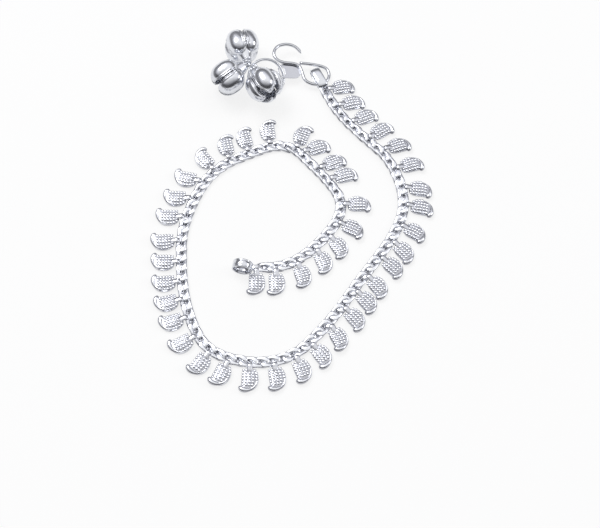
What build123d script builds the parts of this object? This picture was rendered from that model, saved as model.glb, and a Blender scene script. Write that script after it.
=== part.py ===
from build123d import *
import math
import os

# A silver payal (ankle chain) with paisley drops, an S-hook, a jump ring and three ghungroo bells,
# lying open on a table. Millimetres, +Z up, the table at z = 0, origin under the middle of the whole.

# ---- Driving dimensions ----
CHAIN_WIDTH = 2.9
CHAIN_THICKNESS = 1.2
CHAIN_CORNER = 0.55            # rounding of the chain's flat section
ARC_SHARE = 0.45               # how much of the shorter run beside a corner its arc takes up
FLOOR_GAP = 0.02               # the lowest metal stands this far above z = 0
CENTRING = (0, 0.6, 0)         # puts the middle of the whole anklet's box on the origin
GAP = 0.06                     # between pieces that are not soldered

# The chain's middle line, from the end ring to the hook.
ROUTE = [
    (-8.0, -18.5), (-3.0, -18.5), (2.5, -15.5), (7.5, -10.5), (12.0, -4.0), (12.5, 2.0),
    (8.5, 7.5), (3.5, 13.0), (-1.0, 17.0), (-6.0, 17.5), (-12.5, 14.5), (-19.0, 11.0),
    (-23.5, 6.0), (-26.5, -1.0), (-28.5, -9.5), (-28.0, -18.0), (-27.0, -26.0), (-24.5, -34.0),
    (-20.5, -41.0), (-13.5, -44.0), (-5.5, -44.5), (2.0, -42.0), (7.5, -36.0), (12.5, -29.5),
    (17.0, -22.0), (21.5, -15.5), (26.0, -8.5), (29.0, -0.5), (28.0, 7.5), (24.5, 15.0),
    (18.5, 20.5), (12.5, 26.5), (9.0, 32.0), (7.0, 36.0),
]

# Drops, on the chain's right-hand edge going from ring to hook, about one to every second link.
# Each drop: its place along the chain, and how far it has swung towards the hook, degrees.
DROPS = [
    (-0.8, 2), (4, -4), (9.5, -12), (15.5, -20), (20.5, -18), (25, 0), (30.5, -6),
    (38, -22), (42.2, -15), (48.5, -26), (51, 12), (57.5, -4), (63.5, -8), (69, -16),
    (74, -4), (79, 20), (84.5, 20), (90, 16), (96.5, 8), (102.5, -2), (108, 0),
    (113, 0), (118, -2), (123.5, 2), (128.5, 0), (133.5, -8), (139, 2), (144.5, -2),
    (150, -8), (155, -8), (161.5, -22), (167.5, -14), (173, -16), (178.2, -14), (184.5, -8),
    (190, -18), (195, -8), (201, -6), (206, -18), (212, -8), (218, -22), (223.5, -10),
    (230, -17), (236.5, -16), (242.5, -14),
]
NECK_WIDTH = 1.9
NECK_LENGTH = 1.4
NECK_CORNER = 0.5
NECK_THICKNESS = 0.8
BODY_THICKNESS = 1.35
BODY_EDGE = 0.45               # rounding of the cast body's upper rim
TOE_RADIUS = 0.8

# End ring: a short band standing on the table, its bore level.
END_RING_RADIUS = 2.6
END_RING_WALL = 0.42
END_RING_WIDTH = 2.2
END_RING_AT = (-12.3, -19.3)
END_RING_TURN = 8              # the bore's turn from square to the link, degrees
END_LINK = (2.1, 1.7, 1.1)     # the flat link between the ring and the chain
END_LINK_SIDE = 0.97           # how far the link sits to one side of the band's middle

# S-hook and its plate.
HOOK_WIRE = 0.45
HOOK_WIRE_SHARE = 0.49         # as ARC_SHARE, for the hook's wire
HOOK_HEIGHT = 1.2              # of the wire's middle inside the bail
HOOK_SLOPE = 10                # the hook's plane rises towards its plate, degrees
HOOK_PATH = [
    (0.4, 46.0), (-0.4, 47.7), (-3.4, 48.7), (-6.6, 47.3), (-7.4, 44.2), (-5.3, 42.1), (-0.3, 42.6),
    (0.9, 40.2), (1.6, 37.3), (4.4, 36.3), (7.6, 37.4), (8.8, 40.5), (6.9, 43.3), (0.1, 42.8),
]
PLATE_AT = (-2.6, 40.0)
PLATE_SIZE = (6.2, 4.4)
PLATE_CORNER = 1.8
PLATE_THICKNESS = 0.28
PLATE_SUNK = 0.12              # how deep the wire is soldered into the plate
PLATE_TURN = 7                 # degrees
PLATE_SLOT = (3.0, 1.5)        # the long hole that the jump ring passes through
PLATE_SLOT_AT = (-4.55, 39.6)
PLATE_SLOT_TURN = 105

# Bail: a flattened band loop that joins the chain's end to the hook.
BAIL_LENGTH = 6.2
BAIL_HEIGHT = 2.3
BAIL_WIDTH = 2.5
BAIL_WALL = 0.4
BAIL_AT = (6.45, 38.75)

# Jump ring.
JUMP_RADIUS = 5.05
JUMP_WIRE = 0.4
JUMP_AT = (-8.67, 37.01)
JUMP_TILT = 33                 # from level, degrees
JUMP_HIGH_SIDE = 132           # the direction in which it is highest, degrees

# Bells.
BELL_RING_RADIUS = 1.3         # the small ring that gathers the bells' eyes
BELL_RING_WIRE = 0.3
BELL_RING_AT = (-12.81, 38.95, 6.16)
BELL_RING_TILT = 59.4
BELL_RING_HIGH_SIDE = 234.5
# Each bell: its eye's middle, the place it points at, and its roll
BELLS = [
    ((-13.64, 39.96, 5.67), (-15.68, 46.0, 4.75), 58),
    ((-13.79, 38.85, 7.08), (-18.25, 35.53, 5.83), 27),
    ((-12.04, 37.85, 6.83), (-7.92, 30.35, 7.2), 0),
]
LOBES = 4
LOBE_RADIUS = 2.85
LOBE_LENGTH = 4.0              # half the length of a lobe, along the bell's axis
LOBE_FLAT = 0.25               # radius of the flat at each end of a lobe
LOBE_OFFSET = 2.15
BELL_DEPTH = 5.7               # from the cap's top to the widest place
BELL_WALL = 0.4
CAP_RADIUS = 1.3
SLIT = 0.3
RIM = 0.35                     # each raised rim beside a slit
RIM_STAND = 0.3
EYE_RADIUS = 0.9
EYE_WIRE = 0.28
EYE_SUNK = 0.12


# ---- Helpers ----
def corner_radii(points, share):
    """The radius of the arc at each corner of a bent path."""
    radii = []
    for before, corner, after in zip(points, points[1:], points[2:]):
        run_in = Vector(*corner) - Vector(*before)
        run_out = Vector(*after) - Vector(*corner)
        half_turn = math.radians(run_in.get_angle(run_out)) / 2
        radii.append(share * min(run_in.length, run_out.length) / math.tan(half_turn))
    return radii


def bent_path(points, share):
    """Straight runs joined by tangent arcs, level at z = 0."""
    return FilletPolyline(*points, radius=corner_radii(points, share))


def start_plane(path):
    """The plane square to the path's start, its x direction level."""
    return Plane(origin=path @ 0, x_dir=Vector(0, 0, 1).cross(path % 0), z_dir=path % 0)


def unit(vector):
    return Vector(*vector).normalized()


# ---- Chain ----
def chain_middle():
    return Pos(0, 0, FLOOR_GAP + CHAIN_THICKNESS / 2) * bent_path(ROUTE, ARC_SHARE)


def make_chain(path):
    """The curb chain as one flat tube along its whole length."""
    section = start_plane(path) * RectangleRounded(CHAIN_WIDTH, CHAIN_THICKNESS, CHAIN_CORNER)
    return sweep(section, path=path)


# ---- Drops ----
def drop_body():
    """The cast paisley body seen from above: outwards is +X and the convex belly faces +Y."""
    outline = FilletPolyline(
        (0.35, -1.3), (1.4, -1.8), (5.2, -1.85), (5.7, 0.4), (4.3, 2.1), (1.8, 2.1), (0.35, 1.25),
        radius=[0.4, 0.7, 0.6, 0.9, 1.1, 1.1, 0.4],
        close=True,
    )
    body = extrude(make_face(outline), BODY_THICKNESS)
    return fillet(body.edges().group_by(Axis.Z)[-1], BODY_EDGE)


def make_drop():
    """One drop: its neck starts at the origin, on the chain's edge, and its toe curls back."""
    neck = Pos(GAP, 0, 0) * extrude(
        Pos(NECK_LENGTH / 2, 0) * RectangleRounded(NECK_LENGTH, NECK_WIDTH, NECK_CORNER), NECK_THICKNESS
    )
    toe_line = Pos(0, 0, TOE_RADIUS) * CenterArc((3.95, -1.1), 1.75, 75, -100)
    toe = sweep(start_plane(toe_line) * Circle(TOE_RADIUS), path=toe_line)
    tip = Pos(*(toe_line @ 1)) * Sphere(TOE_RADIUS)
    return neck + drop_body() + toe + tip


def place_drop(shape, path, along, swing):
    """Sets a drop on the chain's right-hand edge, clear of it at any swing."""
    inside = min(max(along, 0), path.length)
    forward = path.tangent_at(inside, position_mode=PositionMode.LENGTH)
    middle = path.position_at(inside, position_mode=PositionMode.LENGTH) + forward * (along - inside)
    outward = Vector(forward.Y, -forward.X, 0)
    clear = NECK_WIDTH / 2 * abs(math.sin(math.radians(swing)))
    edge = middle + outward * (CHAIN_WIDTH / 2 + clear)
    heading = math.degrees(math.atan2(outward.Y, outward.X)) + swing
    return Pos(edge.X, edge.Y, FLOOR_GAP) * Rot(0, 0, heading) * shape


# ---- End ring ----
def make_end_ring():
    """A band ring with its bore level, and the flat link soldered to its side."""
    ring = Cylinder(END_RING_RADIUS, END_RING_WIDTH)
    ring -= Cylinder(END_RING_RADIUS - END_RING_WALL, END_RING_WIDTH)
    ring = Rot(90, 0, 0) * ring
    link = Pos(END_RING_RADIUS + 0.33, END_LINK_SIDE, 0.6 - END_RING_RADIUS) * Box(*END_LINK)
    link -= Rot(90, 0, 0) * Cylinder(END_RING_RADIUS - 0.1, 3 * END_RING_WIDTH)
    turn = Rot(0, 0, -END_RING_TURN)
    return Pos(*END_RING_AT, FLOOR_GAP + END_RING_RADIUS) * turn * (ring + link)


# ---- Hook and bail ----
def make_hook():
    """The S-shaped wire with the oval plate soldered under its straight middle."""
    wire_line = bent_path(HOOK_PATH, HOOK_WIRE_SHARE)
    wire = sweep(start_plane(wire_line) * Circle(HOOK_WIRE), path=wire_line)
    wire += Pos(*(wire_line @ 0)) * Sphere(HOOK_WIRE)
    plate = extrude(RectangleRounded(*PLATE_SIZE, PLATE_CORNER), PLATE_THICKNESS)
    plate = Pos(*PLATE_AT, PLATE_SUNK - HOOK_WIRE - PLATE_THICKNESS) * Rot(0, 0, PLATE_TURN) * plate
    slot = extrude(SlotOverall(*PLATE_SLOT), 4, both=True)
    plate -= Pos(*PLATE_SLOT_AT) * Rot(0, 0, PLATE_SLOT_TURN) * slot
    pivot = Pos(BAIL_AT[0], 0, FLOOR_GAP + HOOK_HEIGHT)
    return pivot * Rot(0, HOOK_SLOPE, 0) * Pos(-BAIL_AT[0], 0, 0) * (wire + plate)


def make_bail(chain_end, chain_direction):
    """A band bent into a flat loop round the hook's wire, in line with the chain's end."""
    outer = RectangleRounded(BAIL_LENGTH, BAIL_HEIGHT, BAIL_HEIGHT / 2 - 0.01)
    inner = RectangleRounded(
        BAIL_LENGTH - 2 * BAIL_WALL, BAIL_HEIGHT - 2 * BAIL_WALL, BAIL_HEIGHT / 2 - BAIL_WALL - 0.01
    )
    band = extrude(outer - inner, BAIL_WIDTH / 2, both=True)
    middle = chain_end + chain_direction * (BAIL_LENGTH / 2 + GAP)
    place = Plane(
        origin=(middle.X, middle.Y, FLOOR_GAP + BAIL_HEIGHT / 2),
        x_dir=chain_direction,
        z_dir=chain_direction.cross(Vector(0, 0, 1)),
    )
    return place * band


# ---- Rings ----
def tilted_plane(centre, tilt, high_side):
    """A ring's plane, tilted from level: its x direction points at the ring's highest place."""
    tilt = math.radians(tilt)
    side = math.radians(high_side)
    high = Vector(math.cos(side) * math.cos(tilt), math.sin(side) * math.cos(tilt), math.sin(tilt))
    level = Vector(-math.sin(side), math.cos(side), 0)
    return Plane(origin=centre, x_dir=high, z_dir=high.cross(level))


def make_jump_ring():
    """The large ring, which lies with one side on the table and leans up to the bells."""
    height = FLOOR_GAP + JUMP_WIRE + JUMP_RADIUS * math.sin(math.radians(JUMP_TILT))
    return tilted_plane((*JUMP_AT, height), JUMP_TILT, JUMP_HIGH_SIDE) * Torus(JUMP_RADIUS, JUMP_WIRE)


def bell_ring_plane():
    return tilted_plane(BELL_RING_AT, BELL_RING_TILT, BELL_RING_HIGH_SIDE)


def make_bell_ring():
    """The small ring that gathers the bells' eyes on the jump ring."""
    return bell_ring_plane() * Torus(BELL_RING_RADIUS, BELL_RING_WIRE)


# ---- Bells ----
def lobe_form(stand):
    """One lobe: a body of revolution with a full, smooth outline and a tiny flat at each end."""
    radius = LOBE_RADIUS + stand
    reach = LOBE_LENGTH + stand
    across = 0.78 * radius
    along = 0.66 * reach
    outline = Spline(
        (LOBE_FLAT, -reach), (across, -along), (radius, 0), (across, along), (LOBE_FLAT, reach),
        tangents=[(1, 0), (-1, 0)],
    )
    outline += Polyline((LOBE_FLAT, reach), (0, reach), (0, -reach), (LOBE_FLAT, -reach))
    return revolve(Plane.XZ * make_face(outline), Axis.Z)


def core_form(stand):
    """The tapered core that the lobes grow from, with the cap's top at z = 0."""
    outline = Polyline((0, -stand), (CAP_RADIUS + stand, -stand))
    outline += Spline(
        (CAP_RADIUS + stand, -stand), (2.5 + stand, 2.6), (3.2 + stand, BELL_DEPTH - 1)
    )
    outline += Polyline(
        (3.2 + stand, BELL_DEPTH - 1), (2.6 + stand, BELL_DEPTH + 2),
        (0, BELL_DEPTH + 3 + stand), (0, -stand)
    )
    return revolve(Plane.XZ * make_face(outline), Axis.Z)


def bell_form(stand):
    """The bell's outside grown by stand, its cap at z = 0 and its mouth towards +Z."""
    form = core_form(stand)
    for number in range(LOBES):
        turn = Rot(0, 0, number * 360 / LOBES)
        form += turn * Pos(LOBE_OFFSET, 0, BELL_DEPTH) * lobe_form(stand)
    return form


def slit_planes(thickness, top):
    """Slabs in the valleys between the lobes, from top to past the mouth."""
    depth = 14
    slab = Pos(0, 0, top + depth / 2) * Box(14, thickness, depth)
    slabs = Rot(0, 0, 45) * slab
    slabs += Rot(0, 0, 135) * slab
    return slabs


def make_bell_body():
    """A thin lobed shell with raised rims, slit from its shoulder to its open mouth."""
    body = bell_form(0)
    body += bell_form(RIM_STAND) & slit_planes(SLIT + 2 * RIM, 3.0)
    body -= Pos(0, 0, BELL_DEPTH + LOBE_LENGTH) * Cone(0.6, 2.2, 4.4)
    body -= bell_form(-BELL_WALL)
    return body - slit_planes(SLIT, 3.6)


def place_bell(body, eye, aim, roll):
    """Hangs a bell with its eye round the small ring's wire, pointing it at a given place."""
    ring = bell_ring_plane()
    tangent = unit(ring.z_dir.cross(Vector(*eye) - ring.origin))
    down_bell = unit(Vector(*aim) - Vector(*eye))
    across = unit(tangent - down_bell * tangent.dot(down_bell))
    level = down_bell.cross(Vector(0, 0, 1))
    cap = Vector(*eye) + down_bell * (EYE_RADIUS - EYE_SUNK)
    shell = Plane(origin=cap, x_dir=level, z_dir=down_bell) * Rot(0, 0, roll) * body
    wire_eye = Pos(0, 0, EYE_SUNK - EYE_RADIUS) * Rot(0, 90, 0) * Torus(EYE_RADIUS, EYE_WIRE)
    return shell + Plane(origin=cap, x_dir=across, z_dir=down_bell) * wire_eye


# ---- Build ----
def report_chain(chain, path):
    """Prints the chain's radii, and its volume against its section times its length."""
    section = RectangleRounded(CHAIN_WIDTH, CHAIN_THICKNESS, CHAIN_CORNER)
    radii = corner_radii(ROUTE, ARC_SHARE)
    print("chain radii", [round(radius, 1) for radius in radii])
    print("chain length", round(path.length, 1))
    print("chain volume", round(chain.volume, 1), "section x length", round(section.area * path.length, 1))


def build():
    path = chain_middle()
    chain = make_chain(path)
    report_chain(chain, path)
    nodes = {
        "chain": chain,
        "end_ring": make_end_ring(),
        "s_hook": make_hook(),
        "bail": make_bail(path @ 1, path % 1),
        "jump_ring": make_jump_ring(),
        "bell_ring": make_bell_ring(),
    }
    drop = make_drop()
    for number, (along, swing) in enumerate(DROPS, start=1):
        nodes[f"drop_{number:02d}"] = place_drop(drop, path, along, swing)
    shell = make_bell_body()
    for number, (eye, aim, roll) in enumerate(BELLS, start=1):
        nodes[f"bell_{number}"] = place_bell(shell, eye, aim, roll)
    return nodes


os.makedirs("parts", exist_ok=True)
for name, solid in build().items():
    export_step(Pos(*CENTRING) * solid, f"parts/{name}.step")
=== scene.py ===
import math
import random

import bmesh
import bpy
import numpy as np
from mathutils import Matrix, Vector


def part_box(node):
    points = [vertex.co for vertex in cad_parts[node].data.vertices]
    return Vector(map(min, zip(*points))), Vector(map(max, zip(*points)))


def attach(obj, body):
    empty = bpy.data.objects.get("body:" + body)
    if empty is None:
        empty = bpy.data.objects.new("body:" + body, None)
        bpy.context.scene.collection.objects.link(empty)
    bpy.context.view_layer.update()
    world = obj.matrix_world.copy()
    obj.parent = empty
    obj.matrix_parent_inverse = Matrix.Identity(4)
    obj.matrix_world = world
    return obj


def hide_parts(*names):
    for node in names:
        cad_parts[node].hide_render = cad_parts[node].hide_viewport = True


MM = 0.001
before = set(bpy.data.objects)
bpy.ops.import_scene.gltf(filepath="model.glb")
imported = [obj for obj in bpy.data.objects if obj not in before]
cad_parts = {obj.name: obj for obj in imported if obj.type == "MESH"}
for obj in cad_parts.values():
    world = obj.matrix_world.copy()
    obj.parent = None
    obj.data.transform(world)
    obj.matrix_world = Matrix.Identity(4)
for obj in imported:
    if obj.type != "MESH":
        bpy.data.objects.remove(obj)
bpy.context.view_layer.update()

# ---- The anklet's lines, the same points as the CAD, in millimetres ----
CENTRING = Vector((0.0, 0.6, 0.0))
FLOOR_GAP = 0.02
CHAIN_WIDTH = 2.9
CHAIN_THICKNESS = 1.2
ROUTE = [
    (-8.0, -18.5), (-3.0, -18.5), (2.5, -15.5), (7.5, -10.5), (12.0, -4.0), (12.5, 2.0),
    (8.5, 7.5), (3.5, 13.0), (-1.0, 17.0), (-6.0, 17.5), (-12.5, 14.5), (-19.0, 11.0),
    (-23.5, 6.0), (-26.5, -1.0), (-28.5, -9.5), (-28.0, -18.0), (-27.0, -26.0), (-24.5, -34.0),
    (-20.5, -41.0), (-13.5, -44.0), (-5.5, -44.5), (2.0, -42.0), (7.5, -36.0), (12.5, -29.5),
    (17.0, -22.0), (21.5, -15.5), (26.0, -8.5), (29.0, -0.5), (28.0, 7.5), (24.5, 15.0),
    (18.5, 20.5), (12.5, 26.5), (9.0, 32.0), (7.0, 36.0),
]
# How far each drop has swung from square to the chain, degrees.
SWINGS = [
    2, -4, -12, -20, -18, 0, -6, -22, -15, -26, 12, -4, -8, -16, -4, 20, 20, 16, 8, -2, 0, 0, -2,
    2, 0, -8, 2, -2, -8, -8, -22, -14, -16, -14, -8, -18, -8, -6, -18, -8, -22, -10, -17, -16, -14,
]
LINK_PITCH = 2.74


# ---- Mesh helpers: everything is built in millimetres and scaled to metres last ----
def sample_spline(points, cyclic=False, steps=12):
    """Points along the smooth NURBS line of these given points."""
    curve = bpy.data.curves.new("line", "CURVE")
    curve.dimensions = "3D"
    curve.resolution_u = steps
    spline = curve.splines.new("NURBS")
    spline.points.add(len(points) - 1)
    for control, place in zip(spline.points, points):
        control.co = (*place, 1) if len(place) == 3 else (*place, 0, 1)
    spline.order_u = 3
    spline.use_cyclic_u = cyclic
    spline.use_endpoint_u = not cyclic
    holder = bpy.data.objects.new("line", curve)
    mesh = bpy.data.meshes.new_from_object(holder)
    line = np.array([vertex.co for vertex in mesh.vertices])
    bpy.data.objects.remove(holder)
    bpy.data.meshes.remove(mesh)
    bpy.data.curves.remove(curve)
    return line


class Line:
    """A line of points, measured along its length."""

    def __init__(self, points):
        self.points = np.asarray(points, float)
        runs = np.linalg.norm(np.diff(self.points, axis=0), axis=1)
        self.at = np.concatenate([[0], np.cumsum(runs)])
        self.length = self.at[-1]
        slopes = np.gradient(self.points, self.at, axis=0)
        self.slopes = slopes / np.linalg.norm(slopes, axis=1)[:, None]

    def place(self, s):
        """The place at length s; past an end the line runs straight on."""
        inside = min(max(s, 0), self.length)
        spot = np.array([np.interp(inside, self.at, self.points[:, i]) for i in range(3)])
        return spot + self.along(s) * (s - inside)

    def along(self, s):
        """The direction at length s."""
        slope = np.array([np.interp(s, self.at, self.slopes[:, i]) for i in range(3)])
        return slope / np.linalg.norm(slope)

    def nearest(self, spot):
        """The length at which the line comes nearest to a spot."""
        gaps = np.linalg.norm(self.points - spot, axis=1)
        return self.at[int(np.argmin(gaps))]


class Shape:
    """Vertices and faces that can be added to, and how bright each vertex is painted, from 0 to 1: 0 is
    the full painted shade of crevices and undersides, and a piece's even value sets its tone.
    """

    def __init__(self, vertices=(), faces=(), painted_shade_and_tone=None):
        self.vertices = []
        self.faces = []
        self.painted_shade_and_tone = []
        self.add(vertices, faces, painted_shade_and_tone)

    def add(self, vertices, faces, painted_shade_and_tone=None):
        start = len(self.vertices)
        self.vertices.extend(tuple(float(c) for c in vertex) for vertex in vertices)
        self.faces.extend(tuple(start + i for i in face) for face in faces)
        self.painted_shade_and_tone.extend([1.0] * len(vertices) if painted_shade_and_tone is None else [float(w) for w in painted_shade_and_tone])

    def turned(self, matrix):
        """A copy moved by a 4 x 4 matrix."""
        return Shape([matrix @ Vector(vertex) for vertex in self.vertices], self.faces, self.painted_shade_and_tone)

    def join(self, other):
        self.add(other.vertices, other.faces, other.painted_shade_and_tone)

    def mesh(self, name, place=None):
        """A Blender mesh in metres, moved to its place in the frame."""
        mesh = bpy.data.meshes.new(name)
        mesh.from_pydata(self.vertices, [], self.faces)
        attribute = mesh.attributes.new("painted_shade_and_tone", "FLOAT", "POINT")
        attribute.data.foreach_set("value", np.array(self.painted_shade_and_tone, np.float32))
        shift = Matrix.Translation(CENTRING)
        mesh.transform(Matrix.Scale(MM, 4) @ shift @ (place or Matrix.Identity(4)))
        mesh.validate()
        build = bmesh.new()
        build.from_mesh(mesh)
        bmesh.ops.recalc_face_normals(build, faces=build.faces)
        build.to_mesh(mesh)
        build.free()
        mesh.shade_smooth()
        return mesh


def piece(name, mesh, finish, node):
    """Puts a finished mesh in the scene in place of a CAD node."""
    obj = bpy.data.objects.new(name, mesh)
    bpy.context.scene.collection.objects.link(obj)
    mesh.materials.append(SILVER[finish])
    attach(obj, "root")
    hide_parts(node)
    return obj


def rings_to_faces(rings, around, closed):
    """Faces of a tube whose vertices are stored ring after ring; an open tube gets end caps."""
    faces = []
    for i in range(rings if closed else rings - 1):
        a = i * around
        b = ((i + 1) % rings) * around
        for j in range(around):
            k = (j + 1) % around
            faces.append((a + j, a + k, b + k, b + j))
    if not closed:
        faces.append(tuple(range(around))[::-1])
        faces.append(tuple((rings - 1) * around + j for j in range(around)))
    return faces


def loop_slopes(points):
    """The direction at each point of a closed loop."""
    slopes = np.roll(points, -1, axis=0) - np.roll(points, 1, axis=0)
    return slopes / np.linalg.norm(slopes, axis=1)[:, None]


def directions(slope, up):
    """Across and up, square to a slope, with up as near as it can be to the one given."""
    across = np.cross(slope, up)
    across /= np.linalg.norm(across)
    return across, np.cross(across, slope)


def sweep_section(points, section, up=(0, 0, 1), sizes=None, painted_shade_and_tone=1):
    """Sweeps a flat section (across, up) along an open line of points, with an end cap each side."""
    points = np.asarray(points, float)
    count = len(points)
    slopes = np.gradient(points, axis=0)
    slopes /= np.linalg.norm(slopes, axis=1)[:, None]
    sizes = [1] * count if sizes is None else sizes
    vertices = []
    for spot, slope, size in zip(points, slopes, sizes):
        across, top = directions(slope, up)
        vertices.extend(spot + (across * x + top * y) * size for x, y in section)
    return Shape(vertices, rings_to_faces(count, len(section), False), [painted_shade_and_tone] * len(vertices))


def circle(radius, count):
    """A circle as points (across, up)."""
    return [
        (radius * math.cos(2 * math.pi * j / count), radius * math.sin(2 * math.pi * j / count))
        for j in range(count)
    ]


def rounded_bar(width, height, corner, steps=4):
    """A rectangle with rounded corners, as points (across, up)."""
    points = []
    centres = [(1, 1, 0), (-1, 1, 90), (-1, -1, 180), (1, -1, 270)]
    for sx, sy, start in centres:
        for step in range(steps + 1):
            angle = math.radians(start + 90 * step / steps)
            points.append((
                sx * (width / 2 - corner) + corner * math.cos(angle),
                sy * (height / 2 - corner) + corner * math.sin(angle),
            ))
    return points


def smooth(low, high, value):
    """0 below low and 1 above high, with an S-curve between; value is a number or an array."""
    t = np.clip((value - low) / (high - low), 0, 1)
    return t * t * (3 - 2 * t)


# ---- Materials ----
# The colour of the painted shade in crevices, hollows and undersides, where the stored painted-shade
# value is 0.
PAINTED_SHADE_COLOUR = (0.19, 0.19, 0.225, 1)
DENT_DEPTH = 0.04 * MM


def empty_nodes(owner):
    """The node tree of a material or world, cleared."""
    owner.use_nodes = True
    owner.node_tree.nodes.clear()
    return owner.node_tree


def noise(tree, where, scale, detail):
    """A noise texture on the object's own coordinates."""
    texture = tree.nodes.new("ShaderNodeTexNoise")
    texture.inputs["Scale"].default_value = scale
    texture.inputs["Detail"].default_value = detail
    tree.links.new(where.outputs["Object"], texture.inputs["Vector"])
    return texture


def silver(name, bright, dull, roughness, dent_scale, dent_strength, patch_scale):
    """Polished silver: fine uneven tone and roughness, tiny dents, and painted shade in crevices, hollows
    and undersides.
    """
    material = bpy.data.materials.new(name)
    tree = empty_nodes(material)
    new, link = tree.nodes.new, tree.links.new
    shader = new("ShaderNodeBsdfPrincipled")
    shader.inputs["Metallic"].default_value = 1
    out = new("ShaderNodeOutputMaterial")
    link(shader.outputs[0], out.inputs[0])
    where = new("ShaderNodeTexCoord")

    patches = noise(tree, where, patch_scale, 5)
    patches.inputs["Roughness"].default_value = 0.6
    tone = new("ShaderNodeMix")
    tone.data_type = "RGBA"
    tone.inputs[6].default_value = (*dull, 1)
    tone.inputs[7].default_value = (*bright, 1)
    link(patches.outputs["Fac"], tone.inputs[0])
    painted_shade_attribute = new("ShaderNodeAttribute")
    painted_shade_attribute.attribute_name = "painted_shade_and_tone"
    # Painted shade: each vertex's stored value mixes the dark painted-shade colour into the silver's
    # tone.
    shade = new("ShaderNodeMix")
    shade.data_type = "RGBA"
    shade.inputs[6].default_value = PAINTED_SHADE_COLOUR
    link(painted_shade_attribute.outputs["Fac"], shade.inputs[0])
    link(tone.outputs[2], shade.inputs[7])
    link(shade.outputs[2], shader.inputs["Base Color"])

    smudges = noise(tree, where, patch_scale * 2.3, 4)
    rough = new("ShaderNodeMapRange")
    rough.inputs["From Min"].default_value = 0.3
    rough.inputs["From Max"].default_value = 0.7
    rough.inputs["To Min"].default_value = roughness[0]
    rough.inputs["To Max"].default_value = roughness[1]
    link(smudges.outputs["Fac"], rough.inputs["Value"])
    link(rough.outputs["Result"], shader.inputs["Roughness"])

    dents = noise(tree, where, dent_scale, 3)
    relief = new("ShaderNodeBump")
    relief.inputs["Strength"].default_value = dent_strength
    relief.inputs["Distance"].default_value = DENT_DEPTH
    link(dents.outputs["Fac"], relief.inputs["Height"])
    link(relief.outputs["Normal"], shader.inputs["Normal"])
    return material


# Bright and dull tone, least and most roughness, the dents' scale and strength, the patches' scale.
FINISHES = {
    "chain": ((0.895, 0.91, 0.95), (0.775, 0.79, 0.84), (0.1, 0.22), 2600, 0.35, 500),
    "cast": ((0.885, 0.9, 0.94), (0.73, 0.745, 0.795), (0.1, 0.22), 3200, 0.5, 700),
    "bells": ((0.83, 0.845, 0.885), (0.66, 0.675, 0.72), (0.15, 0.26), 1400, 0.3, 300),
    "polished": ((0.8, 0.815, 0.85), (0.67, 0.685, 0.725), (0.05, 0.12), 900, 0.3, 250),
}
SILVER = {name: silver(f"silver_{name}", *finish) for name, finish in FINISHES.items()}


# ---- Curb chain ----
def rounder(value, power):
    """A sine or cosine bent towards a rounded rectangle's: its sign is kept."""
    return math.copysign(abs(value) ** power, value)


def ground(value, limit, left):
    """What is left of a size that sticks out past a limit on either side."""
    if abs(value) <= limit:
        return value
    return math.copysign(limit + left * (abs(value) - limit), value)


def link_shape():
    """One curb link along +X: a twisted ring, broad at its ends and narrow at its ground sides."""
    rings, around = 44, 12
    # The metal's half width at the link's ends and sides, its half height, and the twist's rise.
    end, side, tall, twist = 0.72, 0.54, 0.42, 0.3
    flat_top = 0.5
    flat_side = CHAIN_WIDTH / 2 - 0.04
    half_length = LINK_PITCH / 2 + 0.55
    half_width = CHAIN_WIDTH / 2 - side + 0.05
    turns = [2 * math.pi * i / rings for i in range(rings)]
    points = np.array([
        (
            half_length * rounder(math.cos(t), 0.8),
            half_width * rounder(math.sin(t), 0.7),
            twist * math.sin(2 * t),
        )
        for t in turns
    ])
    vertices = []
    for t, point, slope in zip(turns, points, loop_slopes(points)):
        across, top = directions(slope, (0, 0, 1))
        broad = side + (end - side) * math.cos(t) ** 2
        for x, y in circle(1, around):
            spot = point + across * x * broad + top * y * tall
            spot[2] = ground(spot[2], flat_top, 0.25)
            spot[1] = ground(spot[1], flat_side, 0.3)
            vertices.append(spot)
    # Painted shade: each link darker towards its underside.
    painted_shade_and_tone = [0.15 + 0.85 * smooth(-0.25, 0.3, spot[2]) for spot in vertices]
    return Shape(vertices, rings_to_faces(rings, around, True), painted_shade_and_tone)


CHAIN_MIDDLE = FLOOR_GAP + CHAIN_THICKNESS / 2
chain_line = Line(sample_spline([(x, y, CHAIN_MIDDLE) for x, y in ROUTE]))


def chain_roll(s):
    """How far the chain has rolled about its own line, degrees: it lies flat but for two stretches."""
    first = 10 * smooth(33, 39, s) * (1 - smooth(49, 55, s))
    last = 6 * smooth(208, 217, s)
    return first + last


def under_strip():
    """A dark strip of painted shade under the links: it stands for their crowded, shaded lower halves,
    seen through each link's hole.
    """
    stations = np.linspace(0.5, chain_line.length - 0.5, 320)
    line = [chain_line.place(s) - (0, 0, 0.34) for s in stations]
    return sweep_section(line, rounded_bar(1.7, 0.4, 0.15, 2), painted_shade_and_tone=0.4)


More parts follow.
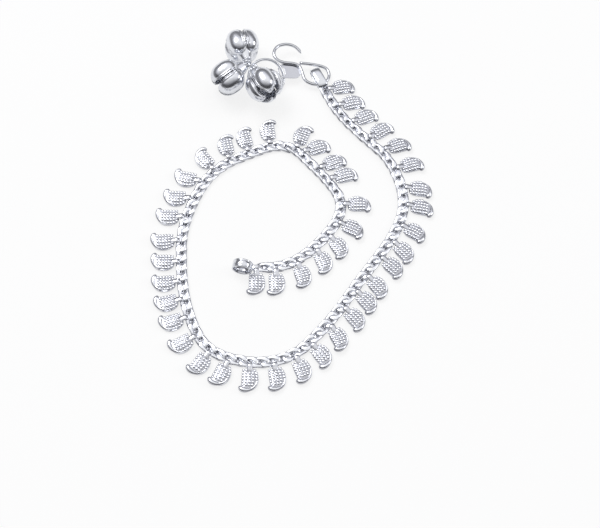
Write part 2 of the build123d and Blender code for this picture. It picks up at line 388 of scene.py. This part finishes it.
def make_chain():
    """The curb links, each a little out of true, and each with its lowest point on the floor or above."""
    one = link_shape()
    chain = under_strip()
    first_link = 1.45
    count = round((chain_line.length - 0.4) / LINK_PITCH)
    pitch = (chain_line.length - 2 * first_link) / (count - 1)
    rng = random.Random(4)
    for i in range(count):
        s = first_link + i * pitch
        spot = Vector(chain_line.place(s))
        along = Vector(chain_line.along(s))
        roll = math.radians(chain_roll(s) + rng.uniform(-7, 7))
        heading = math.atan2(along.y, along.x) + math.radians(rng.uniform(-2.5, 2.5))
        turn = Matrix.Rotation(heading, 4, "Z") @ Matrix.Rotation(roll, 4, "X")
        low = min((turn @ Vector(vertex)).z for vertex in one.vertices)
        spot.z = max(spot.z, FLOOR_GAP - low) + rng.uniform(0, 0.05)
        chain.join(one.turned(Matrix.Translation(spot) @ turn))
    piece("curb_links", chain.mesh("curb_links"), "chain", "chain")


# ---- Paisley drops ----
# The drop lies along +X from its neck, with its straight edge on the -Y side.
OUTLINE = [
    (0.3, -0.9), (0.8, -1.55), (1.8, -1.9), (3.2, -1.9), (4.6, -1.95), (5.6, -1.9), (5.95, -0.8),
    (5.8, 0.7), (5.2, 1.6), (4.2, 2.15), (3.0, 2.3), (1.8, 2.1), (0.8, 1.5), (0.3, 0.85),
]


def bead_shape(radius, height):
    """A small flattened bead."""
    build = bmesh.new()
    bmesh.ops.create_icosphere(build, subdivisions=2, radius=1)
    low = [v for v in build.verts if v.co.z < -0.3]
    bmesh.ops.delete(build, geom=low, context="VERTS")
    build.verts.index_update()
    vertices = [(v.co.x * radius, v.co.y * radius, v.co.z * height) for v in build.verts]
    faces = [tuple(v.index for v in f.verts) for f in build.faces]
    build.free()
    return vertices, faces


def dome_height(gap, belly):
    """How high the drop's face is at a gap from its edge, and how deep in its groove that place is."""
    border = np.exp(-((gap - 0.2) / 0.12) ** 2)
    groove = np.exp(-((gap - 0.42) / 0.08) ** 2)
    height = 0.66 + 0.5 * smooth(0, 0.4, gap) + 0.14 * smooth(0.3, 1.7, gap)
    height += belly * (0.16 * border - 0.05 * groove) + (1 - belly) * 0.06 * border
    return height, groove


def drop_body(edge):
    """The domed body inside an edge line, with a raised border round its belly, down to its flat back."""
    count = len(edge)
    middle = np.array([3.1, 0.1])
    vertices = [(*middle, 1.3)]
    painted_shade_and_tone = [0.5]
    levels = np.concatenate([np.linspace(0.08, 0.5, 3), np.linspace(0.56, 1.0, 15)])
    for level in levels:
        ring = middle + (edge - middle) * level
        gap = np.min(np.linalg.norm(ring[:, None, :] - edge[None, :, :], axis=2), axis=1)
        belly = smooth(-0.2, 0.7, ring[:, 1]) * smooth(0.8, 1.6, ring[:, 0])
        height, groove = dome_height(gap, belly)
        # Painted shade: the field between the beads and the groove inside the belly's border are darker.
        field = smooth(0.3, 0.45, gap)
        shade = 1 - 0.5 * field - 0.35 * belly * groove * (1 - field)
        vertices.extend((x, y, z) for (x, y), z in zip(ring, height))
        painted_shade_and_tone.extend(shade)
    # The side wall's rings: size, height, and painted shade, darker on the lower wall.
    walls = [(1.012, 0.56, 0.7), (1.015, 0.3, 0.3), (0.99, 0.06, 0.3), (0.93, 0.0, 0.3)]
    for size, z, value in walls:
        vertices.extend((x, y, z) for x, y in middle + (edge - middle) * size)
        painted_shade_and_tone.extend([value] * count)
    vertices.append((*middle, 0))
    painted_shade_and_tone.append(0.5)
    rings = len(levels) + len(walls)
    faces = [(0, 1 + j, 1 + (j + 1) % count) for j in range(count)]
    for i in range(rings - 1):
        a = 1 + i * count
        b = a + count
        for j in range(count):
            k = (j + 1) % count
            faces.append((a + j, b + j, b + k, a + k))
    last = 1 + (rings - 1) * count
    faces += [(len(vertices) - 1, last + (j + 1) % count, last + j) for j in range(count)]
    return Shape(vertices, faces, painted_shade_and_tone)


def drop_beads(edge, rng):
    """The bead grid: its rows fan out between the straight edge and the belly's border."""
    grid = Shape()
    columns, rows = 6, 5
    beads, bead_faces = bead_shape(0.43, 0.25)
    # Painted shade: each bead darker towards its base, where it meets the field.
    bead_painted_shade = [0.5 + 0.5 * smooth(0.0, 0.14, z) for _, _, z in beads]
    for column in range(columns):
        x = 0.82 + 0.75 * column
        crown = max(y for edge_x, y in edge if abs(edge_x - x) < 0.4)
        for row in range(rows):
            y = -1.52 + (crown + 1.08) * row / (rows - 1)
            under_toe = x > 3.6 and math.hypot(x - 3.1, y + 0.6) > 2.4
            if under_toe:
                continue
            gap = np.min(np.linalg.norm(edge - (x, y), axis=1))
            size = rng.uniform(0.95, 1.04) * (0.86 if column == 0 else 1)
            base = 1.04 + 0.14 * smooth(0.3, 1.7, gap) + rng.uniform(-0.01, 0.01)
            base += 0.1 * smooth(0.2, 0.5, gap)
            spots = [(x + bx * size, y + by * size, base + bz * size) for bx, by, bz in beads]
            grid.add(spots, bead_faces, bead_painted_shade)
    return grid


def drop_shape(seed):
    """One cast drop: a domed body with beads and a border line, a curled toe and a folded neck."""
    edge = sample_spline(OUTLINE, cyclic=True, steps=7)[:, :2]
    drop = drop_body(edge)
    drop.join(drop_beads(edge, random.Random(seed)))
    drop.join(toe_shape())
    drop.join(neck_shape())
    return drop


def toe_shape():
    """The polished toe: a plump band across the drop's end that curls round to a rounded tip."""
    points = sample_spline([
        (3.9, 1.95, 0.7), (4.7, 1.65, 0.78), (5.45, 0.85, 0.82), (5.85, -0.3, 0.84),
        (5.8, -1.4, 0.84), (5.35, -2.1, 0.84), (4.75, -2.3, 0.82),
    ], steps=5)
    count = len(points)
    sizes = []
    for i in range(count):
        t = i / (count - 1)
        rounded_tip = math.sqrt(max(0.0, 1 - max(0.0, (t - 0.85) / 0.15) ** 2)) * 0.97 + 0.03
        rounded_start = math.sqrt(1 - max(0.0, (0.1 - t) / 0.1) ** 2) * 0.9 + 0.1
        plump = 0.2 + 0.46 * smooth(0.1, 0.72, t) - 0.06 * smooth(0.8, 1, t)
        sizes.append(plump * rounded_tip * rounded_start)
    toe = sweep_section(points, circle(1, 18), sizes=sizes)
    # Painted shade: the toe darker towards its lower side.
    toe.painted_shade_and_tone = [0.1 + 0.9 * smooth(0.85, 1.35, vertex[2]) for vertex in toe.vertices]
    return toe


def neck_shape():
    """The neck: a smooth band from the body, folded over the chain's edge and down into a link."""
    points = sample_spline([
        (1.5, 0.0, 0.8), (1.0, 0.0, 1.08), (0.55, 0.0, 1.2), (0.2, 0.0, 1.25), (-0.25, 0.0, 1.38),
        (-0.75, 0.0, 1.3), (-0.95, 0.0, 0.9), (-0.95, 0.0, 0.5),
    ], steps=4)
    width, crown = 1.4, 0.26
    section = [
        (x, y + crown * (1 - (2 * x / width) ** 2)) for x, y in rounded_bar(width, 0.34, 0.16, 3)
    ]
    return sweep_section(points, section, up=(0.05, 0, 1), painted_shade_and_tone=0.75)


def drop_places():
    """Each drop's number, where its neck starts and its heading, found from its CAD node's box."""
    # The CAD drop in plan: points on its body, and the middle line of its round toe.
    body = np.array([
        (0.06, -0.95), (0.06, 0.95), (0.4, 1.15), (0.5, -1.3), (1.4, 1.75), (2.0, 2.05), (3.1, 2.1),
        (4.2, 1.95), (5.0, 1.4), (5.5, 0.5), (1.2, -1.68), (1.6, -1.78), (5.1, -1.8),
    ])
    toe_radius = 0.8
    toe = np.array([
        (3.95 + 1.75 * math.cos(math.radians(a)), -1.1 + 1.75 * math.sin(math.radians(a)))
        for a in range(-25, 76, 10)
    ])
    for number, swing in enumerate(SWINGS, start=1):
        low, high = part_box(f"drop_{number:02d}")
        middle = (Vector(low) + Vector(high)) / 2 / MM - CENTRING
        target = np.array([middle.x, middle.y])
        root = target
        for _ in range(8):
            s = chain_line.nearest(np.array([*root, CHAIN_MIDDLE]))
            along = chain_line.along(s)
            heading = math.atan2(-along[0], along[1]) + math.radians(swing)
            c, d = math.cos(heading), math.sin(heading)
            turn = np.array([[c, -d], [d, c]])
            turned_body = body @ turn.T
            turned_toe = toe @ turn.T
            top = np.maximum(turned_body.max(axis=0), turned_toe.max(axis=0) + toe_radius)
            bottom = np.minimum(turned_body.min(axis=0), turned_toe.min(axis=0) - toe_radius)
            root = target - (top + bottom) / 2
        yield number, root, heading


def make_drops():
    """The drops, of three slightly different castings, each tilted and nodding a little."""
    kinds = [drop_shape(seed) for seed in (11, 12, 13)]
    rng = random.Random(21)
    for number, root, heading in drop_places():
        shape = kinds[number % len(kinds)]
        tilt = math.radians(rng.uniform(-4, 4))
        nod = math.radians(rng.uniform(-2.5, 1.0))
        lean = Matrix.Rotation(nod, 4, "Y") @ Matrix.Rotation(tilt, 4, "X")
        turn = Matrix.Rotation(heading, 4, "Z") @ lean
        low = min((turn @ Vector(vertex)).z for vertex in shape.vertices)
        place = Matrix.Translation((root[0], root[1], FLOOR_GAP - low)) @ turn
        name = f"paisley_{number:02d}"
        piece(name, shape.mesh(name, place), "cast", f"drop_{number:02d}")


# ---- Rings, hook and bail ----
def axes_frame(centre, x_axis, z_axis):
    """The frame with this centre, x direction and z direction."""
    x_axis, z_axis = Vector(x_axis).normalized(), Vector(z_axis).normalized()
    y_axis = z_axis.cross(x_axis)
    matrix = Matrix((x_axis, y_axis, z_axis)).transposed().to_4x4()
    return Matrix.Translation(Vector(centre)) @ matrix


def tilted_frame(centre, tilt, high_side):
    """The frame of a ring's plane: its x direction points at the ring's highest place."""
    tilt, side = math.radians(tilt), math.radians(high_side)
    high = Vector((math.cos(side) * math.cos(tilt), math.sin(side) * math.cos(tilt), math.sin(tilt)))
    level = Vector((-math.sin(side), math.cos(side), 0))
    return axes_frame(centre, high, high.cross(level))


def split_ring(radius, wire, around, gap, start):
    """A round wire ring with a fine cut where its two ends meet."""
    steps = 128
    points = []
    sizes = []
    for i in range(steps + 1):
        angle = math.radians(start + gap / 2 + (360 - gap) * i / steps)
        points.append((radius * math.cos(angle), radius * math.sin(angle), 0))
        sizes.append(0.93 if i in (0, steps) else 1)
    return sweep_section(points, circle(wire, around), sizes=sizes)


JUMP_AT = (-8.67, 37.01)
JUMP_RADIUS = 5.05
JUMP_WIRE = 0.4
JUMP_TILT = 33
JUMP_HIGH_SIDE = 132
# The gathering ring's centre, its tilt and the side it is highest on, degrees.
BELL_RING = ((-12.81, 38.95, 6.16), 59.4, 234.5)
HOOK_PATH = [
    (0.4, 46.0), (-0.4, 47.7), (-3.4, 48.7), (-6.6, 47.3), (-7.4, 44.2), (-5.3, 42.1), (-0.3, 42.6),
    (0.9, 40.2), (1.6, 37.3), (4.4, 36.3), (7.6, 37.4), (8.8, 40.5), (6.9, 43.3), (0.1, 42.8),
]
BAIL_X = 6.45
HOOK_SLOPE = 10
HOOK_WIRE = 0.45


def make_rings():
    """The large jump ring, resting on the floor at its low side, and the small gathering ring."""
    height = FLOOR_GAP + JUMP_WIRE + JUMP_RADIUS * math.sin(math.radians(JUMP_TILT))
    place = tilted_frame((*JUMP_AT, height), JUMP_TILT, JUMP_HIGH_SIDE)
    ring = split_ring(JUMP_RADIUS, JUMP_WIRE, 20, 1.2, 150)
    piece("jump_wire", ring.mesh("jump_wire", place), "polished", "jump_ring")
    ring = split_ring(1.3, 0.3, 16, 3, 60)
    place = tilted_frame(*BELL_RING)
    piece("gather_ring", ring.mesh("gather_ring", place), "polished", "bell_ring")


def make_hook():
    """The S-shaped wire and its plate, on the slope of the CAD's hook."""
    pivot = Matrix.Translation((BAIL_X, 0, FLOOR_GAP + 1.2))
    slope = Matrix.Rotation(math.radians(HOOK_SLOPE), 4, "Y")
    place = pivot @ slope @ Matrix.Translation((-BAIL_X, 0, 0))
    line = sample_spline([(x, y, 0) for x, y in HOOK_PATH], steps=14)
    # The wire's free end is rounded over its first few rings.
    rounded_end = [math.sin(math.radians(10 + 18 * i)) for i in range(5)]
    sizes = rounded_end + [1.0] * (len(line) - len(rounded_end))
    hook = sweep_section(line, circle(HOOK_WIRE, 20), sizes=sizes, painted_shade_and_tone=0.8)
    hook.join(hook_plate())
    piece("hook_and_plate", hook.mesh("hook_and_plate", place), "polished", "s_hook")


def hook_plate():
    """The oval plate with the long hole for the jump ring, its edges eased, under the hook's wire."""
    curve = bpy.data.curves.new("plate", "CURVE")
    curve.dimensions = "2D"
    curve.fill_mode = "BOTH"
    curve.extrude = 0.08
    curve.bevel_depth = 0.06
    curve.bevel_resolution = 3
    turn = Matrix.Translation((-2.6, 40.0, 0)) @ Matrix.Rotation(math.radians(7), 4, "Z")
    slot = Matrix.Translation((-4.55, 39.6, 0)) @ Matrix.Rotation(math.radians(105), 4, "Z")
    loops = [
        [turn @ Vector((x, y, 0)) for x, y in rounded_bar(6.08, 4.28, 1.74, 14)],
        [slot @ Vector((x, y, 0)) for x, y in rounded_bar(3.12, 1.62, 0.8, 12)],
    ]
    for loop in loops:
        spline = curve.splines.new("POLY")
        spline.points.add(len(loop) - 1)
        for control, spot in zip(spline.points, loop):
            control.co = (*spot, 1)
        spline.use_cyclic_u = True
    holder = bpy.data.objects.new("plate", curve)
    mesh = bpy.data.meshes.new_from_object(holder)
    plate = Shape(
        [(v.co.x, v.co.y, v.co.z - HOOK_WIRE - 0.02) for v in mesh.vertices],
        [tuple(p.vertices) for p in mesh.polygons],
        [0.72] * len(mesh.vertices),
    )
    bpy.data.objects.remove(holder)
    bpy.data.meshes.remove(mesh)
    bpy.data.curves.remove(curve)
    return plate


def make_bail():
    """The flattened band loop, with a rim along each side and a crown on its upper half."""
    low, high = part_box("bail")
    centre = (Vector(low) + Vector(high)) / 2 / MM - CENTRING
    along = Vector(chain_line.along(chain_line.length))
    half_length, half_height = 2.88, 0.9
    # Across the band, and out from its middle line.
    section = [
        (-1.375, 0.02), (-1.32, 0.12), (-1.1, 0.19), (-0.55, 0.23), (0, 0.24), (0.55, 0.23),
        (1.1, 0.19), (1.32, 0.12), (1.375, 0.02), (1.353, -0.12), (1.21, -0.17), (0, -0.17),
        (-1.21, -0.17), (-1.353, -0.12),
    ]
    steps = 72
    turns = [2 * math.pi * i / steps for i in range(steps)]
    points = np.array([
        (half_length * rounder(math.cos(t), 0.75), 0, half_height * rounder(math.sin(t), 0.85))
        for t in turns
    ])
    vertices = []
    for spot, slope in zip(points, loop_slopes(points)):
        out = np.array([slope[2], 0, -slope[0]])
        if out @ spot < 0:
            out = -out
        crown = 1.5 if spot[2] > 0 else 1
        vertices.extend(spot + (0, side, 0) + out * raise_by * crown for side, raise_by in section)
    band = Shape(vertices, rings_to_faces(steps, len(section), True))
    place = axes_frame((centre.x, centre.y, FLOOR_GAP + 1.15), along, (0, 0, 1))
    piece("bail_band", band.mesh("bail_band", place), "polished", "bail")


def make_end_ring():
    """The band ring at the free end, with its flat link and a fine line beside each rim."""
    radius, wall = 2.6, 0.42
    # Along the bore, and out from the ring's outside.
    section = [
        (-1.1, -0.12), (-1.0, -0.02), (-0.84, 0.0), (-0.74, -0.09), (-0.62, -0.02), (0.62, -0.02),
        (0.74, -0.09), (0.84, 0.0), (1.0, -0.02), (1.1, -0.12), (1.1, -0.34), (1.02, -wall),
        (-1.02, -wall), (-1.1, -0.34),
    ]
    steps = 96
    vertices = []
    painted_shade_and_tone = []
    for i in range(steps):
        angle = 2 * math.pi * i / steps
        for side, raise_by in section:
            size = radius + raise_by
            vertices.append((size * math.cos(angle), side, size * math.sin(angle)))
            # Painted shade: the ring's inside is darker.
            inside = raise_by < -0.3
            painted_shade_and_tone.append(0.7 if inside else 1)
    ring = Shape(vertices, rings_to_faces(steps, len(section), True), painted_shade_and_tone)
    # The soldered link, a flat bar from the ring towards the chain: places along it, and its size there.
    stations = [(1.85, 0.9), (2.1, 1), (2.9, 1), (3.75, 1), (3.98, 0.86)]
    bar = [(x, 0.97, -2.0) for x, _ in stations]
    sizes = [size for _, size in stations]
    ring.join(sweep_section(bar, rounded_bar(1.7, 1.05, 0.3, 4), sizes=sizes))
    turn = Matrix.Rotation(math.radians(-8), 4, "Z")
    place = Matrix.Translation((-12.3, -19.3, FLOOR_GAP + radius)) @ turn
    piece("band_ring", ring.mesh("band_ring", place), "polished", "end_ring")


# ---- Bells ----
# Each bell's eye, the place it hangs towards, and its turn about that line, degrees.
BELLS = [
    ((-13.64, 39.96, 5.67), (-15.68, 46.0, 4.75), 58),
    ((-13.79, 38.85, 7.08), (-18.25, 35.53, 5.83), 27),
    ((-12.04, 37.85, 6.83), (-7.92, 30.35, 7.2), 0),
]
BELL_DEPTH = 5.7
LOBE_RADIUS = 2.85
LOBE_LENGTH = 4.0
LOBE_OFFSET = 2.15
LOBES = 4
# The core's radius, and how far from the cap that is.
CORE = [
    (0.03, 0), (1.2, 0), (1.32, 0.12), (1.7, 1.0), (2.4, 2.5), (3.1, 4.2), (3.2, 4.7), (2.6, 7.7),
    (0.5, 8.6),
]
SHELL_WALL = 0.36
EYE_RADIUS = 0.9
# The slits lie in two crossing planes between the lobes, given by their normals. Past SLIT_TOP from
# the cap they are open by HALF_SLIT to each side, and past MOUTH_TOP they meet in a round mouth.
SLIT_PLANES = [Vector((math.cos(a), math.sin(a), 0)) for a in (math.radians(45), math.radians(135))]
HALF_SLIT = 0.14
SLIT_TOP = 3.7
MOUTH_RADIUS = 1.0
MOUTH_TOP = 7.4


def bump(gap, middle, width):
    """A smooth bump of height 1, at a gap of middle."""
    return math.exp(-(((gap - middle) / width) ** 2))


def revolved(profile, around, offset):
    """A closed surface of revolution about a line along Z, at this x."""
    vertices = []
    for radius, z in profile:
        for j in range(around):
            angle = 2 * math.pi * j / around
            vertices.append((offset + radius * math.cos(angle), radius * math.sin(angle), z))
    return Shape(vertices, rings_to_faces(len(profile), around, False))


def bell_form():
    """The bell's outside, with its cap at 0 and its mouth along +Z: lobes and core in one skin."""
    form = Shape()
    lobe = []
    steps = 32
    for i in range(steps + 1):
        t = math.sin((-1 + 2 * i / steps) * math.pi / 2)
        radius = max(0.03, LOBE_RADIUS * (1 - abs(t) ** 2.5) ** 0.57)
        lobe.append((radius, BELL_DEPTH + LOBE_LENGTH * t))
    for number in range(LOBES):
        turn = Matrix.Rotation(math.radians(360 / LOBES * number), 4, "Z")
        form.join(revolved(lobe, 56, LOBE_OFFSET).turned(turn))
    form.join(revolved(CORE, 56, 0))
    mesh = bpy.data.meshes.new("bell_form")
    mesh.from_pydata(form.vertices, [], form.faces)
    holder = bpy.data.objects.new("bell_form", mesh)
    bpy.context.scene.collection.objects.link(holder)
    remesh = holder.modifiers.new("skin", "REMESH")
    remesh.mode = "VOXEL"
    remesh.voxel_size = 0.13
    ease = holder.modifiers.new("ease", "SMOOTH")
    ease.factor = 0.5
    ease.iterations = 6
    bpy.context.view_layer.update()
    seen = holder.evaluated_get(bpy.context.evaluated_depsgraph_get())
    build = bmesh.new()
    build.from_mesh(seen.to_mesh())
    bpy.data.objects.remove(holder)
    bpy.data.meshes.remove(mesh)
    return build


def raise_rims(build):
    """Two fine raised lines along each side of the slits."""
    build.normal_update()
    for vertex in build.verts:
        high = smooth(2.4, 3.4, vertex.co.z)
        gaps = [abs(vertex.co.dot(plane)) for plane in SLIT_PLANES]
        rim = max(max(0.26 * bump(gap, 0.3, 0.13), 0.2 * bump(gap, 0.78, 0.13)) for gap in gaps)
        vertex.co += vertex.normal * rim * high


def cut_slits(build):
    """Cuts the slits and the round mouth where they meet."""
    cuts = [(plane * side, plane) for plane in SLIT_PLANES for side in (-HALF_SLIT, HALF_SLIT)]
    cuts.append(((0, 0, SLIT_TOP), (0, 0, 1)))
    for place, normal in cuts:
        everything = build.verts[:] + build.edges[:] + build.faces[:]
        bmesh.ops.bisect_plane(build, geom=everything, plane_co=place, plane_no=normal, dist=1e-5)
    gone = []
    for face in build.faces:
        spot = face.calc_center_median()
        gap = min(abs(spot.dot(plane)) for plane in SLIT_PLANES)
        in_slit = spot.z > SLIT_TOP and gap < HALF_SLIT - 0.001
        in_mouth = spot.z > MOUTH_TOP and math.hypot(spot.x, spot.y) < MOUTH_RADIUS
        if in_slit or in_mouth:
            gone.append(face)
    bmesh.ops.delete(build, geom=gone, context="FACES")
    loose = [vertex for vertex in build.verts if not vertex.link_faces]
    bmesh.ops.delete(build, geom=loose, context="VERTS")
    bmesh.ops.remove_doubles(build, verts=build.verts, dist=0.004)


def flare_petals(build):
    """Spreads the slits towards the mouth."""
    reach, spread = 1.3, 0.75
    for vertex in build.verts:
        flare = smooth(6.4, 9.4, vertex.co.z)
        for plane in SLIT_PLANES:
            gap = vertex.co.dot(plane)
            if flare and abs(gap) < reach:
                vertex.co += plane * math.copysign(spread * flare * (1 - abs(gap) / reach), gap)


def bell_shell():
    """The lobed shell as one open surface, with rims beside its slits; its wall comes later."""
    build = bell_form()
    raise_rims(build)
    cut_slits(build)
    flare_petals(build)
    build.verts.index_update()
    # Painted shade: a dark line in the groove between each slit's two rims.
    painted_shade_and_tone = []
    for vertex in build.verts:
        gap = min(abs(vertex.co.dot(plane)) for plane in SLIT_PLANES)
        painted_shade_and_tone.append(1 - 0.45 * bump(gap, 0.54, 0.1) * smooth(2.6, 3.4, vertex.co.z))
    shell = Shape(
        [tuple(vertex.co) for vertex in build.verts],
        [tuple(vertex.index for vertex in face.verts) for face in build.faces],
        painted_shade_and_tone,
    )
    build.free()
    return shell


def make_bells():
    """Each bell's shell, and the wire eye and collar on its cap."""
    shell = bell_shell()
    ring_frame = tilted_frame(*BELL_RING)
    ring_centre = ring_frame.to_translation()
    ring_axis = Vector(ring_frame.col[2][:3])
    for number, (eye, aim, roll) in enumerate(BELLS, start=1):
        eye, aim = Vector(eye), Vector(aim)
        down = (aim - eye).normalized()
        tangent = ring_axis.cross(eye - ring_centre).normalized()
        across = (tangent - down * tangent.dot(down)).normalized()
        cap = eye + down * (EYE_RADIUS - 0.12)
        place = axes_frame(cap, down.cross(Vector((0, 0, 1))), down)
        turned = place @ Matrix.Rotation(math.radians(roll), 4, "Z")
        name = f"ghungroo_{number}"
        obj = piece(name, shell.mesh(name, turned), "bells", f"bell_{number}")
        thick = obj.modifiers.new("wall", "SOLIDIFY")
        thick.thickness = SHELL_WALL * MM
        thick.offset = -1
        wire = split_ring(EYE_RADIUS, 0.28, 16, 2, 270).turned(axes_frame(eye, down, across))
        collar = split_ring(1.12, 0.2, 12, 1, 90).turned(place @ Matrix.Translation((0, 0, 0.05)))
        wire.join(collar)
        name = f"ghungroo_eye_{number}"
        piece(name, wire.mesh(name), "polished", f"bell_{number}")


# ---- Stage, light and camera ----
def make_stage():
    """A white floor that keeps the object's shadow, and looks as white in the metal as in view."""
    half = 3
    mesh = bpy.data.meshes.new("floor")
    corners = [(-half, -half, 0), (half, -half, 0), (half, half, 0), (-half, half, 0)]
    mesh.from_pydata(corners, [], [(0, 1, 2, 3)])
    floor = bpy.data.objects.new("floor", mesh)
    bpy.context.scene.collection.objects.link(floor)
    material = bpy.data.materials.new("paper")
    tree = empty_nodes(material)
    new, link = tree.nodes.new, tree.links.new
    out = new("ShaderNodeOutputMaterial")
    diffuse = new("ShaderNodeBsdfDiffuse")
    diffuse.inputs["Color"].default_value = (0.97, 0.97, 0.97, 1)
    glow = new("ShaderNodeEmission")
    path = new("ShaderNodeLightPath")
    seen = path.outputs["Is Camera Ray"]
    for ray in ("Is Glossy Ray", "Is Transmission Ray"):
        either = new("ShaderNodeMath")
        either.operation = "MAXIMUM"
        link(seen, either.inputs[0])
        link(path.outputs[ray], either.inputs[1])
        seen = either.outputs[0]
    share = new("ShaderNodeMath")
    share.operation = "MULTIPLY"
    share.inputs[1].default_value = 0.8
    link(seen, share.inputs[0])
    mix = new("ShaderNodeMixShader")
    link(share.outputs[0], mix.inputs[0])
    link(diffuse.outputs[0], mix.inputs[1])
    link(glow.outputs[0], mix.inputs[2])
    link(mix.outputs[0], out.inputs[0])
    mesh.materials.append(material)


def lamp(name, place, size, power):
    """A soft rectangular lamp that points at the middle of the floor."""
    data = bpy.data.lights.new(name, "AREA")
    data.shape = "RECTANGLE"
    data.size, data.size_y = size
    data.energy = power
    obj = bpy.data.objects.new(name, data)
    obj.location = place
    obj.rotation_euler = (-Vector(place)).to_track_quat("-Z", "Y").to_euler()
    bpy.context.scene.collection.objects.link(obj)


# The sky's colour by the sine of its height, from 0 at the horizon and below to 1 overhead.
SKY = [
    (0.0, (0.4, 0.4, 0.42)),
    (0.15, (0.25, 0.25, 0.2625)),
    (0.48, (0.22, 0.22, 0.231)),
    (0.62, (0.62, 0.62, 0.651)),
    (0.74, (0.98, 0.98, 1.029)),
    (0.86, (1.05, 1.05, 1.05)),
]


def make_light():
    """A white sky with a dark band round the horizon, darker on the camera's side, and two lamps."""
    world = bpy.data.worlds.new("room")
    bpy.context.scene.world = world
    tree = empty_nodes(world)
    new, link = tree.nodes.new, tree.links.new
    out = new("ShaderNodeOutputWorld")
    back = new("ShaderNodeBackground")
    where = new("ShaderNodeTexCoord")
    axes = new("ShaderNodeSeparateXYZ")
    ramp = new("ShaderNodeValToRGB")
    stops = ramp.color_ramp.elements
    stops[1].position = SKY[-1][0]
    for position, _ in SKY[1:-1]:
        stops.new(position)
    for stop, (_, colour) in zip(stops, SKY):
        stop.color = (*colour, 1)
    side = new("ShaderNodeMapRange")
    side.interpolation_type = "SMOOTHSTEP"
    side.inputs["From Min"].default_value = -0.85
    side.inputs["From Max"].default_value = 0.1
    side.inputs["To Min"].default_value = 0.3
    side.inputs["To Max"].default_value = 1
    link(where.outputs["Generated"], axes.inputs[0])
    link(axes.outputs["Z"], ramp.inputs[0])
    link(axes.outputs["Y"], side.inputs["Value"])
    link(ramp.outputs[0], back.inputs["Color"])
    link(side.outputs["Result"], back.inputs["Strength"])
    link(back.outputs[0], out.inputs[0])
    lamp("key", (-0.3, 0.3, 0.7), (0.45, 0.35), 2.2)
    lamp("side", (0.8, 0.1, 0.45), (0.4, 0.3), 1.2)


CAMERA_AT = (2.2, -152.9, 289.1)
CAMERA_LENS = 75.1
CAMERA_ELEVATION = 64.8
CAMERA_ROLL = 1.96


def make_camera():
    """The photo's viewpoint: the camera looks along +Y and down, rolled a little."""
    data = bpy.data.cameras.new("camera")
    data.lens = CAMERA_LENS
    data.sensor_width = 36
    camera = bpy.data.objects.new("camera", data)
    elevation, roll = math.radians(CAMERA_ELEVATION), math.radians(CAMERA_ROLL)
    right = Vector((1, 0, 0))
    up = Vector((0, math.sin(elevation), math.cos(elevation)))
    x_axis = right * math.cos(roll) + up * math.sin(roll)
    y_axis = up * math.cos(roll) - right * math.sin(roll)
    matrix = Matrix((x_axis, y_axis, x_axis.cross(y_axis))).transposed().to_4x4()
    place = (Vector(CAMERA_AT) + CENTRING) * MM
    camera.matrix_world = Matrix.Translation(place) @ matrix
    bpy.context.scene.collection.objects.link(camera)
    bpy.context.scene.camera = camera


make_camera()
make_chain()
make_drops()
make_rings()
make_hook()
make_bail()
make_end_ring()
make_bells()
make_stage()
make_light()
bpy.context.scene.view_settings.view_transform = "Standard"
